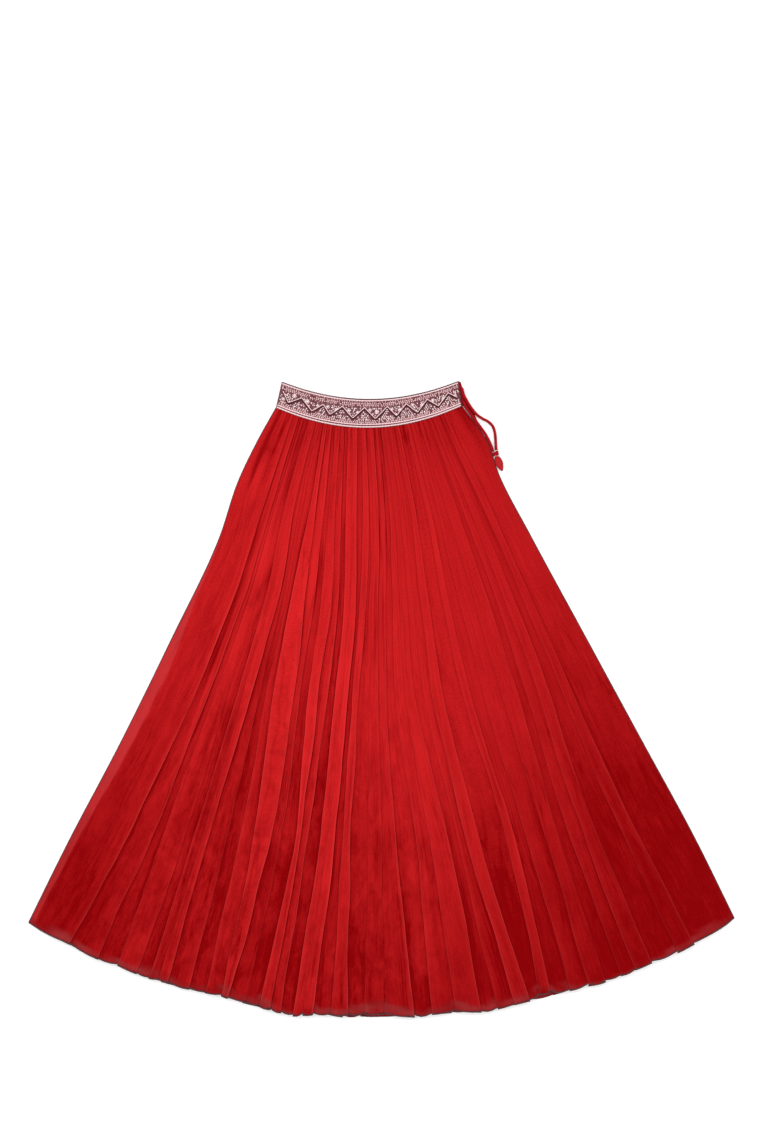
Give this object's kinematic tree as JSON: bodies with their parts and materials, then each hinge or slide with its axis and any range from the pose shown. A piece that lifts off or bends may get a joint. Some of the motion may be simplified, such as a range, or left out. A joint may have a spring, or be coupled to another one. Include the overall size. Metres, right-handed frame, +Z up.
{
  "type": "pleated lehenga skirt",
  "caption": "Floor-length pleated lehenga skirt with a beaded waistband, side opening and bound drawstring, laid flat face up.",
  "frame": {"origin": "on the surface the skirt is laid on, under the middle of the garment's box without its drawstring", "axes": "+Y towards the waist, -Y towards the hem, +X towards the wearer's left, +Z up, out of the front"},
  "size_m": [1.2196, 1.0973, 0.0132],
  "materials": {
    "silk": "sheer crinkled silk organza over lining, soft sheen",
    "lining": "plain satin lining",
    "band": "maroon cloth closely covered in silver and pale pink beads",
    "zari": "couched metal-wrapped thread, silver pink",
    "cord": "bias-cut silk tube, satin"
  },
  "bodies": {
    "root": {"skirt_front": "silk", "skirt_back": "silk", "lining_front": "lining", "lining_back": "lining", "waistband_front": "band", "waistband_back": "band", "zari_zigzag": "zari", "zari_rope_lower": "zari", "zari_rope_upper": "zari", "side_placket": "silk", "dori_outer": "cord", "dori_inner": "cord", "dori_knot": "cord", "dori_latkan": "cord"}
  },
  "joints": []
}
